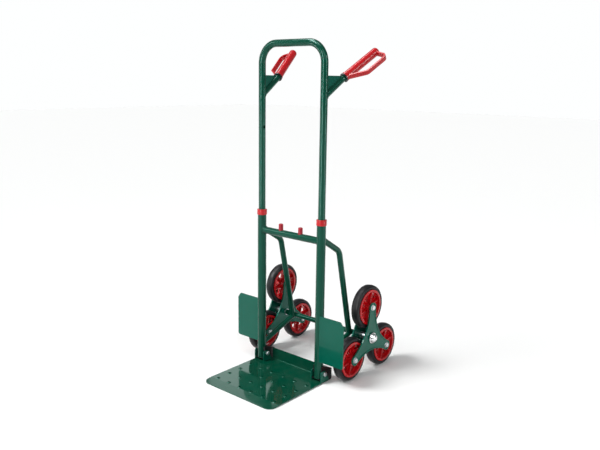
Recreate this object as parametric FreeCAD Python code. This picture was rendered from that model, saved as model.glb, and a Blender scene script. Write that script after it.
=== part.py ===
# Stair-climbing hand truck: a steel tube frame with a telescopic handle, a folding toe plate
# and two three-armed wheel carriers. Millimetres. +Z is up, the load side faces -Y and left is -X.
import FreeCAD, Part
import math
import os

V = FreeCAD.Vector
X_AXIS = V(1, 0, 0)
Y_AXIS = V(0, 1, 0)
Z_AXIS = V(0, 0, 1)
SIDES = (("left", -1), ("right", 1))

# --- overall sizes ---
overall_height = 1190.0
upright_spacing = 280.0
upright_top_z = 590.0
crossbar_z = 516.0

# --- clearances ---
running_clearance = 0.06
sliding_clearance = 0.08
side_gap = 0.5
edge_reach = 0.1
spare = 1.0

# --- uprights and handle tube ---
upright_od = 32.0
upright_wall = 1.5
upright_bottom_z = 17.0
handle_od = 25.0
handle_wall = 1.5
handle_bend_radius = 66.0
handle_overlap = 160.0
handle_floor_margin = 14.0

# --- collars and glides ---
collar_od = 36.0
collar_height = 20.0
collar_cap = 2.5
collar_edge = 1.2
collar_skirt = 18.0
glide_length = 32.0
glide_base = 3.0

# --- crossbar and lock ---
crossbar_od = 25.4
crossbar_wall = 1.5
knob_offset = 46.0
knob_od = 16.5
knob_height = 21.0
knob_edge = 1.6
stem_od = 8.0
release_travel = 10.0
slider_length = 34.0
slider_inner_reach = 20.0
lock_pin_od = 9.5
lock_hole_od = 11.0
lock_pin_short = 0.6
lock_pin_chamfer = 1.0
lock_pin_inset = 2.0
spring_od = 12.0
spring_wire = 1.4
spring_turns = 6
spring_bore_depth = 14.0
spring_entry = 2.0
stop_plug_half = 5.0

# --- grips ---
stub_drop = 175.5
stub_od = 22.0
stub_wall = 1.5
stub_room = 30.0
grip_root = V(10.0, 91.0, 62.0)
grip_rise = V(40.0, 132.0, 94.0)
grip_od = 29.0
grip_length = 167.0
grip_tip_wall = 14.0
grip_flange_od = 33.0
grip_flange_length = 7.0
grip_flange_step = 0.6
grip_loop_lead = 2.0
grip_ring_length = 4.0
stub_bend_radius = 90.0
stub_straight = 9.0
loop_offset = 53.0
loop_thickness = 6.0
loop_width = 16.0
loop_ramp = 62.0
loop_bend_radius = 14.0
loop_tilt = V(0.97, -0.03, -0.24)
gusset_thickness = 3.0
gusset_height = 69.0

# --- braces, struts and axle ---
brace_od = 21.5
brace_wall = 1.5
brace_bend_back = 103.0
brace_bend_drop = 64.0
brace_bend_radius = 40.0
brace_drop = 1.0
brace_axle_lead = 11.0
strut_od = 19.0
strut_wall = 1.5
strut_foot_z = 69.0
axle_tube_od = 20.0
axle_rod_od = 14.0

# --- wheels ---
wheel_od = 160.0
wheel_outboard = 69.0
tyre_width = 32.0
tyre_shoulder = 7.0
rim_od = 128.0
rim_lip = 2.0
rim_ring = 8.0
rim_web = 7.0
rim_spokes = 6
rim_spoke_width = 13.0
rim_joint = 1.0
rim_rib_root = 2.0
window_hub_gap = 6.0
window_ring_gap = 3.0
window_corner = 2.5
rim_rib = 3.0
rim_hub_od = 30.0
rim_hub_length = 34.0
rim_phase = 16.0
wheel_bolt_od = 10.0

# --- wheel carriers (stars) ---
star_radius = 115.0
star_plate_gap = 48.0
star_plate_thickness = 2.5
star_tab_radius = 19.0
star_waist = 47.0
star_rim_width = 4.0
star_rim_height = 2.0
star_hub_od = 24.0
star_hub_overhang = 3.0
bolt_head_od = 16.0
bolt_head_height = 6.0
bolt_tail = 2.0
bolt_head_bevel = 0.4
spacer_od = 15.0
hub_washer_od = 40.0
hub_washer_thickness = 2.0
hub_washer_edge = 0.8
hub_cap_od = 34.0
hub_cap_height = 14.0

# --- guards ---
guard_thickness = 2.5
guard_set_forward = 12.5
guard_reach = 115.0
guard_bottom_z = 82.0
guard_height = 170.0
guard_corner = 8.0
guard_chamfer_x = 13.0
guard_chamfer_z = 18.0
guard_wheel_gap = 3.0

# --- toe plate ---
toe_sheet = 3.0
toe_overhang = 24.0
toe_reach = 278.0
toe_ramp = 42.0
toe_corner = 27.0
toe_back = 36.0
toe_flange_height = 43.0
toe_flange_inset = 3.0
toe_bend = 4.0
dimple_pitch = 55.0
dimple_columns = 6
dimple_rows = 4
dimple_front_gap = 50.0
dimple_hole_od = 10.0
dimple_rim_od = 17.0
dimple_rise = 1.4
dimple_crown = 1.5
dimple_root = 0.5

# --- toe hinge ---
pivot_y = 5.0
pivot_z = 34.0
hinge_bolt_od = 8.0
hinge_head_od = 15.0
hinge_head_height = 5.5
hinge_bolt_tail = 1.5
ear_thickness = 3.0
ear_front = 20.0
ear_front_height = 11.0
ear_crown_back = 4.0
ear_back = 26.0
ear_front_corner = 5.0
ear_crown_corner = 10.0
shoe_side_wall = 4.0
shoe_height = 61.0
shoe_rear_height = 43.0
shoe_back = 50.0
shoe_wrap = 6.0
shoe_shoulder = 10.0
shoe_heel_z = 1.0
shoe_heel_corner = 5.0
shoe_plate_gap = 1.0

# --- sizes that follow from the ones above ---
upright_x = upright_spacing / 2
upright_r = upright_od / 2
upright_bore_r = upright_r - upright_wall
handle_r = handle_od / 2
top_bar_z = overall_height - handle_r
collar_top_z = upright_top_z + collar_cap
handle_bottom_z = upright_top_z - handle_overlap
grip_mount_z = top_bar_z - stub_drop
room_in_uprights = handle_bottom_z - glide_base - (pivot_z + hinge_bolt_od / 2 + handle_floor_margin)
room_under_grips = grip_mount_z - stub_room - collar_top_z
handle_travel = min(room_in_uprights, room_under_grips)
wheel_r = wheel_od / 2
wheel_x = upright_x + wheel_outboard
axle_z = wheel_r + star_radius / 2
guard_rear_y = guard_thickness - guard_set_forward
axle_y = guard_rear_y + guard_wheel_gap + star_radius + wheel_r
hub_half = star_plate_gap / 2 + star_plate_thickness + star_hub_overhang
toe_half_width = upright_x + toe_overhang
toe_top_z = 2 * toe_sheet
ear_half_gap = upright_r + shoe_side_wall + side_gap
rear_wheel_y = axle_y + star_radius * math.cos(math.radians(30)) + wheel_r
centre_y = (rear_wheel_y - toe_reach) / 2


def rod(start, end, radius):
    """Solid cylinder from one point to another."""
    return Part.makeCylinder(radius, (end - start).Length, start, end - start)


def tube(start, end, outer_r, inner_r):
    return rod(start, end, outer_r).cut(rod(start, end, inner_r))


def box(x_range, y_range, z_range):
    size = [high - low for low, high in (x_range, y_range, z_range)]
    return Part.makeBox(*size, V(x_range[0], y_range[0], z_range[0]))


def rounded_path(points, radius):
    """Straight runs joined by tangent arcs of one radius."""
    edges = []
    start = points[0]
    for before, corner, after in zip(points, points[1:], points[2:]):
        back = (before - corner).normalize()
        ahead = (after - corner).normalize()
        half_angle = back.getAngle(ahead) / 2
        bisector = (back + ahead).normalize()
        arc_in = corner + back * (radius / math.tan(half_angle))
        arc_out = corner + ahead * (radius / math.tan(half_angle))
        arc_mid = corner + bisector * (radius / math.sin(half_angle) - radius)
        edges.append(Part.LineSegment(start, arc_in).toShape())
        edges.append(Part.Arc(arc_in, arc_mid, arc_out).toShape())
        start = arc_out
    edges.append(Part.LineSegment(start, points[-1]).toShape())
    return Part.Wire(edges)


def sweep(path, profile):
    return Part.Solid(path.makePipeShell([profile], True, False))


def bent_rod(points, bend_radius, radius):
    circle = Part.Circle(points[0], points[1] - points[0], radius).toShape()
    return sweep(rounded_path(points, bend_radius), Part.Wire([circle]))


def bent_tube(points, bend_radius, outer_r, wall):
    return bent_rod(points, bend_radius, outer_r).cut(bent_rod(points, bend_radius, outer_r - wall))


def largest(shape):
    """The main solid of a cut that leaves crumbs."""
    return max(shape.Solids, key=lambda solid: solid.Volume)


def prism(points, direction):
    """Polygon extruded along a vector."""
    return Part.Face(Part.makePolygon(points + [points[0]])).extrude(direction)


def edges_along(shape, axis, test=lambda point: True):
    """Straight edges parallel to an axis whose midpoint passes a test."""
    chosen = []
    for edge in shape.Edges:
        ends = [vertex.Point for vertex in edge.Vertexes]
        if len(ends) == 2 and (ends[1] - ends[0]).cross(axis).Length < 1e-6 and test((ends[0] + ends[1]) / 2):
            chosen.append(edge)
    return chosen


def hexagon(centre, axis, across_flats, height):
    """Hexagonal prism along X with its outer end chamfered by a cone."""
    corner_r = across_flats / math.sqrt(3)
    corners = [centre + V(0, corner_r * math.cos(math.radians(a)), corner_r * math.sin(math.radians(a)))
               for a in range(0, 360, 60)]
    body = prism(corners, axis * height)
    cone = Part.makeCone(corner_r + height, across_flats / 2 - bolt_head_bevel, height, centre, axis)
    return body.common(cone)


def mirrored(shape):
    return shape.mirror(V(0, 0, 0), X_AXIS)


def on_side(shape, sign):
    """A shape drawn on the +X side, moved to the side that is asked for."""
    return shape if sign > 0 else mirrored(shape)


# --- welded frame ---
def upright():
    body = tube(V(upright_x, 0, upright_bottom_z), V(upright_x, 0, upright_top_z), upright_r, upright_bore_r)
    body = body.cut(hinge_bolt_hole(hinge_bolt_od / 2))
    lock_hole = rod(V(upright_x - upright_od, 0, crossbar_z), V(upright_x, 0, crossbar_z), lock_hole_od / 2)
    return body.cut(lock_hole)


def upright_envelope():
    return rod(V(upright_x, 0, 0), V(upright_x, 0, upright_top_z), upright_r)


def crossbar_envelope():
    return rod(V(-upright_x, 0, crossbar_z), V(upright_x, 0, crossbar_z), crossbar_od / 2)


def crossbar():
    bore_r = crossbar_od / 2 - crossbar_wall
    body = crossbar_envelope().cut(rod(V(-upright_x, 0, crossbar_z), V(upright_x, 0, crossbar_z), bore_r))
    slot_half_width = stem_od / 2 + side_gap
    for sign in (-1, 1):
        body = body.cut(on_side(upright_envelope(), sign))
        near = knob_offset - release_travel
        ends = [V(sign * x, 0, crossbar_z) for x in (near, knob_offset)]
        slot = Part.makeBox(knob_offset - near, 2 * slot_half_width, crossbar_od,
                            V(min(ends[0].x, ends[1].x), -slot_half_width, crossbar_z))
        for end in ends:
            slot = slot.fuse(rod(end, end + Z_AXIS * crossbar_od, slot_half_width))
        body = body.cut(slot)
    return largest(body)


def brace_points():
    """Back and down from the upright, then a bend and a long run to the front of the axle tube."""
    return [V(upright_x, 0, crossbar_z + brace_od / 2 - brace_drop),
            V(upright_x, brace_bend_back, crossbar_z + brace_od / 2 - brace_bend_drop),
            V(upright_x, axle_y - brace_axle_lead, axle_z)]


def axle_envelope(radius):
    return rod(V(-wheel_x, axle_y, axle_z), V(wheel_x, axle_y, axle_z), radius)


def brace():
    body = bent_tube(brace_points(), brace_bend_radius, brace_od / 2, brace_wall)
    body = body.cut(upright_envelope()).cut(axle_envelope(axle_tube_od / 2))
    return largest(body.cut(crossbar_envelope()))


def strut():
    foot = V(upright_x, 0, strut_foot_z)
    head = V(upright_x, axle_y, axle_z)
    body = tube(foot, head, strut_od / 2, strut_od / 2 - strut_wall)
    body = body.cut(upright_envelope()).cut(axle_envelope(axle_tube_od / 2))
    return largest(body.cut(bent_rod(brace_points(), brace_bend_radius, brace_od / 2)))


def axle_tube():
    end = wheel_x - hub_half - side_gap
    return tube(V(-end, axle_y, axle_z), V(end, axle_y, axle_z), axle_tube_od / 2, axle_rod_od / 2)


def axle_rod():
    end = wheel_x + hub_half + side_gap + hub_washer_thickness + hub_cap_height / 2
    return rod(V(-end, axle_y, axle_z), V(end, axle_y, axle_z), axle_rod_od / 2)


def hub_washer():
    start = V(wheel_x + hub_half + side_gap, axle_y, axle_z)
    body = tube(start, start + X_AXIS * hub_washer_thickness, hub_washer_od / 2, axle_rod_od / 2)
    wide = [e for e in body.Edges if e.BoundBox.YLength > hub_washer_od - spare]
    return body.makeFillet(hub_washer_edge, [e for e in wide if e.CenterOfMass.x > start.x + spare])


def hub_cap():
    """Domed cap nut: a sphere's crown on a short band, bored for the axle's end."""
    start = V(wheel_x + hub_half + side_gap + hub_washer_thickness, axle_y, axle_z)
    cap_r = hub_cap_od / 2
    rise = hub_cap_height * 0.75
    sphere_r = (cap_r ** 2 + rise ** 2) / (2 * rise)
    crown = Part.makeSphere(sphere_r, start + X_AXIS * (hub_cap_height - sphere_r))
    body = rod(start, start + X_AXIS * hub_cap_height, cap_r).common(crown)
    return body.cut(rod(start, start + X_AXIS * (hub_cap_height / 2), axle_rod_od / 2))


def guard():
    """Flat panel beside the upright, between the load and the wheels."""
    low_x = upright_x
    high_x = upright_x + guard_reach
    top_z = guard_bottom_z + guard_height
    y = -guard_set_forward
    outline = [V(low_x, y, guard_bottom_z), V(high_x, y, guard_bottom_z),
               V(high_x, y, top_z - guard_chamfer_z),
               V(high_x - guard_chamfer_x, y, top_z), V(low_x, y, top_z)]
    body = prism(outline, Y_AXIS * guard_thickness)
    rounded = edges_along(body, Y_AXIS, lambda p: p.x > low_x + spare)
    body = body.makeFillet(guard_corner, rounded)
    return largest(body.cut(upright_envelope()))


# --- collars, glides and handle ---
def collar():
    """Plastic bush over the upright's mouth: an outer sleeve, a lip round the handle tube and a skirt."""
    low = V(upright_x, 0, collar_top_z - collar_height)
    seat = V(upright_x, 0, upright_top_z)
    top = V(upright_x, 0, collar_top_z)
    body = rod(low, top, collar_od / 2)
    rims = [e for e in body.Edges if e.BoundBox.ZLength < 0.01 and e.BoundBox.XLength > collar_od - spare]
    body = body.makeFillet(collar_edge, rims).cut(rod(low, seat, upright_r))
    body = body.fuse(rod(seat - Z_AXIS * collar_skirt, seat, upright_bore_r))
    return body.cut(rod(low - Z_AXIS * collar_skirt, top, handle_r + sliding_clearance))


def handle_points():
    return [V(-upright_x, 0, handle_bottom_z), V(-upright_x, 0, top_bar_z),
            V(upright_x, 0, top_bar_z), V(upright_x, 0, handle_bottom_z)]


def handle_tube():
    body = bent_tube(handle_points(), handle_bend_radius, handle_r, handle_wall)
    for z in (crossbar_z, crossbar_z + handle_travel):
        for sign in (-1, 1):
            inner = V(sign * (upright_x - handle_od), 0, z)
            body = body.cut(rod(inner, V(sign * upright_x, 0, z), lock_hole_od / 2))
    return body


def handle_envelope():
    return rod(V(upright_x, 0, handle_bottom_z), V(upright_x, 0, top_bar_z), handle_r)


def glide():
    """Plastic shoe on the handle tube's end that slides in the upright."""
    low = V(upright_x, 0, handle_bottom_z - glide_base)
    body = rod(low, low + Z_AXIS * glide_length, upright_bore_r - sliding_clearance)
    body = body.cut(rod(V(upright_x, 0, handle_bottom_z), low + Z_AXIS * glide_length, handle_r))
    return body.cut(rod(low, low + Z_AXIS * glide_base, handle_r / 2))


def grip_frame():
    """Root point, unit axis and outward direction of the +X grip."""
    mount = V(upright_x, 0, grip_mount_z)
    axis = V(grip_rise).normalize()
    outward = (loop_tilt - axis * loop_tilt.dot(axis)).normalize()
    return mount, mount + grip_root, axis, outward


def stub_points():
    mount, root, axis, _ = grip_frame()
    return [mount, root - axis * stub_straight, root + axis * (grip_length - grip_tip_wall)]


def stub():
    body = bent_tube(stub_points(), stub_bend_radius, stub_od / 2, stub_wall)
    return largest(body.cut(handle_envelope()))


def gusset():
    """Sheet triangle that fills the corner between the handle tube and the grip's stub."""
    mount, root, _, _ = grip_frame()
    along = V(root.x - mount.x, root.y - mount.y, 0).normalize()
    reach = math.hypot(root.x - mount.x, root.y - mount.y)
    top = mount.z + gusset_height
    across = along.cross(Z_AXIS) * gusset_thickness
    face = [mount - across / 2,
            mount + along * (reach - grip_ring_length) + Z_AXIS * (root.z - mount.z) - across / 2,
            V(mount.x, mount.y, top) + along * (reach - 14) - across / 2,
            V(mount.x, mount.y, top) - across / 2]
    body = prism(face, across)
    body = body.cut(handle_envelope()).cut(bent_rod(stub_points(), stub_bend_radius, stub_od / 2))
    return largest(body)


def grip_ring():
    _, root, axis, _ = grip_frame()
    return tube(root, root + axis * grip_ring_length, grip_flange_od / 2, stub_od / 2)


def grip():
    """Moulded handgrip: flange, round body with a domed end, and a flat loop that guards the hand."""
    _, root, axis, outward = grip_frame()
    start = root + axis * grip_ring_length
    tip = root + axis * grip_length
    body = rod(start, tip, grip_od / 2)
    end_edge = [e for e in body.Edges if (e.CenterOfMass - tip).Length < edge_reach]
    body = body.makeFillet(grip_od * 0.32, end_edge)
    body = body.fuse(rod(start, start + axis * grip_flange_length, grip_flange_od / 2 - grip_flange_step))
    stations = [(grip_flange_length + grip_loop_lead, grip_od / 4), (loop_ramp, loop_offset),
                (grip_length - 8, loop_offset), (grip_length - grip_tip_wall, grip_od / 4)]
    points = [root + axis * s + outward * o for s, o in stations]
    first = (points[1] - points[0]).normalize()
    side = axis.cross(outward) * (loop_width / 2)
    edge = first.cross(axis.cross(outward)).normalize() * (loop_thickness / 2)
    corners = [points[0] + side + edge, points[0] - side + edge,
               points[0] - side - edge, points[0] + side - edge]
    band = sweep(rounded_path(points, loop_bend_radius), Part.makePolygon(corners + [corners[0]]))
    body = body.fuse(band)
    bore = rod(root, root + axis * (grip_length - grip_tip_wall), stub_od / 2)
    return largest(body.cut(bore).removeSplitter())


# --- lock release in the crossbar ---
def slider_range():
    inner = knob_offset - slider_inner_reach
    return inner, inner + slider_length


def slider():
    inner, outer = slider_range()
    slide_r = crossbar_od / 2 - crossbar_wall - sliding_clearance
    body = rod(V(inner, 0, crossbar_z), V(outer, 0, crossbar_z), slide_r)
    bore_r = spring_od / 2 + 1
    body = body.cut(rod(V(inner, 0, crossbar_z), V(inner + spring_bore_depth, 0, crossbar_z), bore_r))
    body = body.cut(rod(V(knob_offset, 0, crossbar_z), V(knob_offset, 0, crossbar_z + slide_r), stem_od / 2))
    pin_seat = knob_offset + stem_od / 2 + lock_pin_inset
    return body.cut(rod(V(pin_seat, 0, crossbar_z), V(outer, 0, crossbar_z), lock_pin_od / 2))


def lock_pin():
    """Steel pin whose rounded tip stops just short of the handle tube."""
    seat = knob_offset + stem_od / 2 + lock_pin_inset
    tip = upright_x - handle_r - lock_pin_short
    body = rod(V(seat, 0, crossbar_z), V(tip, 0, crossbar_z), lock_pin_od / 2)
    rim_edges = [e for e in body.Edges if abs(e.CenterOfMass.x - tip) < edge_reach]
    return body.makeChamfer(lock_pin_chamfer, rim_edges)


def knob():
    base_z = crossbar_z + crossbar_od / 2 + side_gap
    base = V(knob_offset, 0, base_z)
    body = rod(base, base + Z_AXIS * knob_height, knob_od / 2)
    flat = [e for e in body.Edges if e.BoundBox.ZLength < edge_reach]
    body = body.makeFillet(knob_edge, [e for e in flat if e.CenterOfMass.z > base_z + spare])
    return body.fuse(rod(V(knob_offset, 0, crossbar_z), base, stem_od / 2)).removeSplitter()


def stop_plug():
    bore_r = crossbar_od / 2 - crossbar_wall
    return rod(V(-stop_plug_half, 0, crossbar_z), V(stop_plug_half, 0, crossbar_z), bore_r)


def return_spring():
    """Open coil between the stop plug and the slider's bore."""
    inner, _ = slider_range()
    length = inner + spring_entry - stop_plug_half - spring_wire
    coil_r = spring_od / 2 - spring_wire / 2
    helix = Part.makeHelix(length / spring_turns, length, coil_r)
    start = V(coil_r, 0, 0)
    circle = Part.Circle(start, V(0, 1, length / spring_turns / (2 * math.pi * coil_r)), spring_wire / 2)
    coil = Part.Solid(Part.Wire(helix.Edges).makePipeShell([Part.Wire([circle.toShape()])], True, True))
    coil.rotate(V(0, 0, 0), Y_AXIS, 90)
    coil.translate(V(stop_plug_half + spring_wire / 2, 0, crossbar_z))
    return coil


# --- wheels and their carriers ---
def ring_about_x(profile, centre):
    """Half section, as (radius, offset along X) points, turned about the X axis."""
    points = [V(offset, radius, 0) for radius, offset in profile]
    face = Part.Face(Part.makePolygon(points + [points[0]]))
    body = face.revolve(V(0, 0, 0), X_AXIS, 360)
    body = Part.Solid(body) if body.ShapeType != "Solid" else body
    body.translate(centre)
    return body


def tyre(centre):
    half = tyre_width / 2
    bore = rim_od / 2
    start = centre - X_AXIS * half
    body = tube(start, start + X_AXIS * tyre_width, wheel_r, bore)
    shoulders = [e for e in body.Edges if e.BoundBox.YLength > wheel_od - 1 and e.BoundBox.XLength < 0.01]
    return body.makeFillet(tyre_shoulder, shoulders)


def rim(centre):
    """Moulded wheel centre: stepped outer ring, web with one window between spokes, ribs and hub."""
    half = tyre_width / 2
    outer_r = rim_od / 2
    ring_r = outer_r - rim_ring
    hub_r = rim_hub_od / 2
    body = ring_about_x([(ring_r, -half - rim_lip), (outer_r, -half - rim_lip / 2),
                         (outer_r, half + rim_lip / 2),
                         (ring_r, half + rim_lip)], centre)
    start = centre - X_AXIS * (rim_web / 2)
    body = body.fuse(rod(start, start + X_AXIS * rim_web, ring_r + rim_joint))
    for index in range(rim_spokes):
        angle = rim_phase + 360.0 * index / rim_spokes
        rib = box((-half + rim_rib, half - rim_rib), (hub_r - rim_rib_root, ring_r + rim_joint),
                  (-rim_rib / 2, rim_rib / 2))
        window = window_prism(angle + 180.0 / rim_spokes, hub_r, ring_r)
        rib.rotate(V(0, 0, 0), X_AXIS, angle)
        window.translate(centre)
        rib.translate(centre)
        body = body.cut(window).fuse(rib)
    hub_start = centre - X_AXIS * (rim_hub_length / 2)
    body = body.fuse(rod(hub_start, hub_start + X_AXIS * rim_hub_length, hub_r))
    bore = rod(hub_start, hub_start + X_AXIS * rim_hub_length, wheel_bolt_od / 2 + running_clearance)
    return body.cut(bore).removeSplitter()


def window_prism(angle, hub_r, ring_r):
    """Rounded wedge between two spokes, cut right through the web."""
    inner_r = hub_r + window_hub_gap
    outer_r = ring_r - window_ring_gap
    spread = math.pi / rim_spokes
    inner_half = inner_r * math.sin(spread) - rim_spoke_width / 2
    outer_half = outer_r * math.sin(spread) - rim_spoke_width / 2
    outline = [V(-tyre_width, inner_r, -inner_half),
               V(-tyre_width, outer_r * math.cos(spread / 2), -outer_half),
               V(-tyre_width, outer_r, 0), V(-tyre_width, outer_r * math.cos(spread / 2), outer_half),
               V(-tyre_width, inner_r, inner_half)]
    body = prism(outline, X_AXIS * (2 * tyre_width))
    body = body.makeFillet(window_corner, edges_along(body, X_AXIS))
    body.rotate(V(0, 0, 0), X_AXIS, angle)
    return body


def wheel_centres(sign):
    """Name and centre of each wheel of one carrier: one arm points up, two rest on the floor."""
    centres = []
    for name, angle in (("top", 90), ("front", 210), ("rear", 330)):
        turn = math.radians(angle)
        centre = V(sign * wheel_x, axle_y + star_radius * math.cos(turn),
                   axle_z + star_radius * math.sin(turn))
        centres.append((name, centre))
    return centres


def star_outline(inset):
    """Closed wire in the YZ plane: a round tab at each arm, concave arcs between them."""
    tab_r = star_tab_radius - inset
    waist = star_waist - inset
    edges = []
    for arm in range(3):
        here = math.radians(90 + 120 * arm)
        there = math.radians(90 + 120 * (arm + 1))
        between = (here + there) / 2
        tip = V(0, star_radius * math.cos(here), star_radius * math.sin(here))
        next_tip = V(0, star_radius * math.cos(there), star_radius * math.sin(there))
        side = math.radians(78)
        crown = tip + V(0, math.cos(here), math.sin(here)) * tab_r
        low = tip + V(0, math.cos(here - side), math.sin(here - side)) * tab_r
        high = tip + V(0, math.cos(here + side), math.sin(here + side)) * tab_r
        next_low = next_tip + V(0, math.cos(there - side), math.sin(there - side)) * tab_r
        edges.append(Part.Arc(low, crown, high).toShape())
        edges.append(Part.Arc(high, V(0, math.cos(between), math.sin(between)) * waist, next_low).toShape())
    return Part.Wire(edges)


def star_plate(x, outward):
    """Pressed plate with a raised border, holes for the three bolts and the hub."""
    full = Part.Face(star_outline(0)).extrude(X_AXIS * (outward * star_plate_thickness))
    border = Part.Face(star_outline(0)).extrude(X_AXIS * (outward * (star_plate_thickness + star_rim_height)))
    dish = Part.Face(star_outline(star_rim_width))
    border = border.cut(dish.extrude(X_AXIS * (outward * 4 * star_rim_height)))
    body = full.fuse(border).removeSplitter()
    for arm in range(3):
        turn = math.radians(90 + 120 * arm)
        hole = V(-star_plate_gap, star_radius * math.cos(turn), star_radius * math.sin(turn))
        body = body.cut(rod(hole, hole + X_AXIS * (2 * star_plate_gap), wheel_bolt_od / 2))
    body = body.cut(rod(V(-star_plate_gap, 0, 0), V(star_plate_gap, 0, 0), star_hub_od / 2))
    body.translate(V(x, axle_y, axle_z))
    return body


def star_hub():
    start = V(wheel_x - hub_half, axle_y, axle_z)
    return tube(start, start + X_AXIS * (2 * hub_half), star_hub_od / 2, axle_rod_od / 2 + running_clearance)


def wheel_bolts():
    """Three bolts with their nuts, which clamp the two plates of a carrier on its spacers."""
    pieces = []
    out = star_plate_gap / 2 + star_plate_thickness
    for _, centre in wheel_centres(1):
        head = centre + X_AXIS * out
        nut = centre - X_AXIS * out
        bolt = rod(nut - X_AXIS * (bolt_head_height + bolt_tail), head, wheel_bolt_od / 2)
        pieces.append(bolt.fuse(hexagon(head, X_AXIS, bolt_head_od, bolt_head_height)).removeSplitter())
        shank = rod(nut - X_AXIS * bolt_head_height, nut, wheel_bolt_od / 2)
        pieces.append(hexagon(nut, -X_AXIS, bolt_head_od, bolt_head_height).cut(shank))
    return Part.makeCompound(pieces)


def wheel_spacers():
    pieces = []
    near = rim_hub_length / 2 + side_gap
    far = star_plate_gap / 2
    for _, centre in wheel_centres(1):
        for sign in (-1, 1):
            pieces.append(tube(centre + X_AXIS * (sign * near), centre + X_AXIS * (sign * far),
                               spacer_od / 2, wheel_bolt_od / 2))
    return Part.makeCompound(pieces)


# --- toe plate and its hinge ---
def toe_section(x_half):
    """Side profile of the folded sheet: rear flange, floor and a front ramp down to the ground."""
    back = toe_back
    ramp_y = -toe_reach + toe_ramp
    outline = [V(-x_half, back, toe_sheet), V(-x_half, back, toe_top_z + toe_flange_height),
               V(-x_half, back - toe_sheet, toe_top_z + toe_flange_height),
               V(-x_half, back - toe_sheet, toe_top_z),
               V(-x_half, ramp_y, toe_top_z), V(-x_half, -toe_reach, toe_sheet), V(-x_half, -toe_reach, 0),
               V(-x_half, ramp_y, toe_sheet)]
    body = prism(outline, X_AXIS * (2 * x_half))
    for y, z in ((back - toe_sheet, toe_top_z), (back, toe_sheet)):
        bend = edges_along(body, X_AXIS, lambda p: math.hypot(p.y - y, p.z - z) < edge_reach)
        body = body.makeFillet(toe_bend, bend)
    return body


def dimple_centres():
    first_x = -dimple_pitch * (dimple_columns - 1) / 2
    first_y = -toe_reach + dimple_front_gap
    return [V(first_x + dimple_pitch * column, first_y + dimple_pitch * row, 0)
            for row in range(dimple_rows) for column in range(dimple_columns)]


def toe_plate():
    body = toe_section(toe_half_width)
    flange_half = upright_x - ear_half_gap - ear_thickness - toe_flange_inset
    above = toe_top_z + toe_flange_height + spare
    for sign in (-1, 1):
        near, far = sorted((sign * flange_half, sign * (toe_half_width + spare)))
        notch = box((near, far), (toe_back - toe_sheet - toe_bend, toe_back + spare), (toe_top_z, above))
        body = body.cut(notch)
    corners = edges_along(body, Z_AXIS, lambda p: p.y < -toe_reach + spare)
    body = body.makeFillet(toe_corner, corners)
    for centre in dimple_centres():
        base = centre + Z_AXIS * (toe_top_z - dimple_root)
        crown_r = dimple_hole_od / 2 + dimple_crown
        rim = Part.makeCone(dimple_rim_od / 2, crown_r, dimple_rise + dimple_root, base, Z_AXIS)
        hole = rod(centre, centre + Z_AXIS * (toe_top_z + 2 * dimple_rise), dimple_hole_od / 2)
        body = body.fuse(rim).cut(hole)
    return largest(body)


def hinge_bolt_hole(radius):
    start = V(upright_x - upright_spacing, pivot_y, pivot_z)
    return rod(start, start + X_AXIS * (2 * upright_spacing), radius)


def hinge_ears():
    """Two upright tabs on the toe plate, one each side of the hinge shoe, with a sloping back edge."""
    pieces = []
    crown_z = pivot_z + ear_front_height
    for offset in (ear_half_gap, -ear_half_gap - ear_thickness):
        x = upright_x + offset
        outline = [V(x, pivot_y - ear_front, toe_top_z), V(x, pivot_y - ear_front, crown_z),
                   V(x, pivot_y + ear_crown_back, crown_z), V(x, pivot_y + ear_back, toe_top_z)]
        ear = prism(outline, X_AXIS * ear_thickness)
        for radius, front in ((ear_front_corner, True), (ear_crown_corner, False)):
            upper = edges_along(ear, X_AXIS,
                                lambda p: p.z > crown_z - edge_reach and (p.y < pivot_y) == front)
            ear = ear.makeFillet(radius, upper)
        bore = hinge_bolt_od / 2 + running_clearance
        pieces.append(ear.cut(hinge_bolt_hole(bore)))
    return Part.makeCompound(pieces)


def shoe():
    """Moulded foot on the upright: it carries the hinge bolt and its heel hangs behind the toe plate."""
    half = upright_r + shoe_side_wall
    turn_r = pivot_z - toe_top_z - shoe_plate_gap
    low_z = pivot_z - turn_r
    left = upright_x - half
    rear_low = V(left, shoe_back, low_z)
    outline = [V(left, -shoe_wrap, low_z), rear_low, V(left, shoe_back, shoe_rear_height),
               V(left, shoe_shoulder, shoe_height), V(left, -shoe_wrap, shoe_height)]
    body = prism(outline, X_AXIS * (2 * half))
    front = rod(V(left, pivot_y, pivot_z), V(left + 2 * half, pivot_y, pivot_z), turn_r)
    front = front.common(box((left, left + 2 * half), (-upright_od, pivot_y), (0, upright_bottom_z)))
    rear_corner = box((left, left + 2 * half), (-upright_od, pivot_y), (0, pivot_z))
    body = body.cut(rear_corner.cut(front)).fuse(front)
    heel = box((left, left + 2 * half), (toe_back + shoe_plate_gap, shoe_back), (shoe_heel_z, pivot_z))
    lower_back = edges_along(heel, X_AXIS, lambda p: p.y > shoe_back - spare and p.z < low_z)
    heel = heel.makeFillet(shoe_heel_corner, lower_back)
    body = body.fuse(heel).removeSplitter()
    body = body.cut(rod(V(upright_x, 0, upright_bottom_z), V(upright_x, 0, shoe_height), upright_r))
    return largest(body.cut(hinge_bolt_hole(hinge_bolt_od / 2)))


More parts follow.
